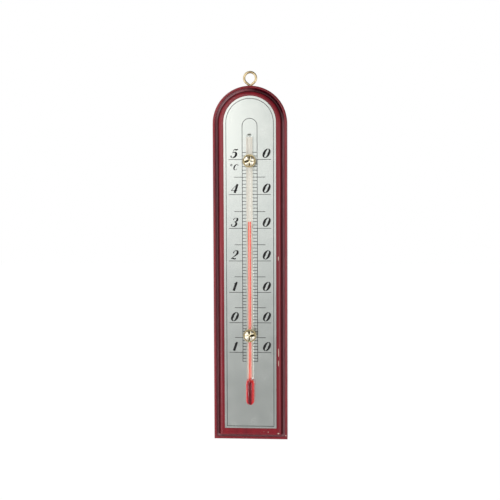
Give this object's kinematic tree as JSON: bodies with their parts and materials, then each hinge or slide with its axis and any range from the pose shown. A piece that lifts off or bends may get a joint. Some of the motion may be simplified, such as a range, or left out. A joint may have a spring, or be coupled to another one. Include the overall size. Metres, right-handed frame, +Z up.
{
  "type": "wall thermometer",
  "caption": "Arch-topped wooden wall thermometer with a printed aluminium Celsius scale, a red-spirit glass capillary held by brass rosette clips, and a brass hanging eye.",
  "frame": {"origin": "middle of the board's foot, on the plane of its back face", "axes": "+Z up the board to the hanging eye, +Y into the wall, so the scale faces -Y and +X is to the viewer's right"},
  "size_m": [0.052, 0.0222, 0.2594],
  "materials": {
    "stained_wood": "mahogany-red stain under gloss lacquer, worn on the arrises",
    "adhesive_film": "clear-yellow adhesive film",
    "satin_aluminium": "fine satin, silver",
    "scale_ink": "black printed ink",
    "clear_glass": "clear drawn glass",
    "white_enamel": "cream-white enamel fused into the glass",
    "red_spirit": "red-dyed spirit",
    "polished_brass": "bright polished pale brass",
    "eye_brass": "drawn brass wire, lightly polished"
  },
  "bodies": {
    "instrument": {"backboard": "stained_wood", "plate_adhesive": "adhesive_film", "scale_plate": "satin_aluminium", "scale_print": "scale_ink", "glass_tube": "clear_glass", "enamel_stripe": "white_enamel", "bulb_spirit": "red_spirit", "spirit_column": "red_spirit", "upper_staple": "polished_brass", "upper_rosette": "polished_brass", "lower_staple": "polished_brass", "lower_rosette": "polished_brass", "screw_eye": "eye_brass"},
    "spirit_level": {"spirit_meniscus": "red_spirit"}
  },
  "joints": [
    {"name": "spirit_rise", "type": "slide", "parent": "instrument", "child": "spirit_level", "axis": [0, 0, 1], "range_m": [-0.09818, 0.04804], "deforming": ["spirit_column"]}
  ]
}
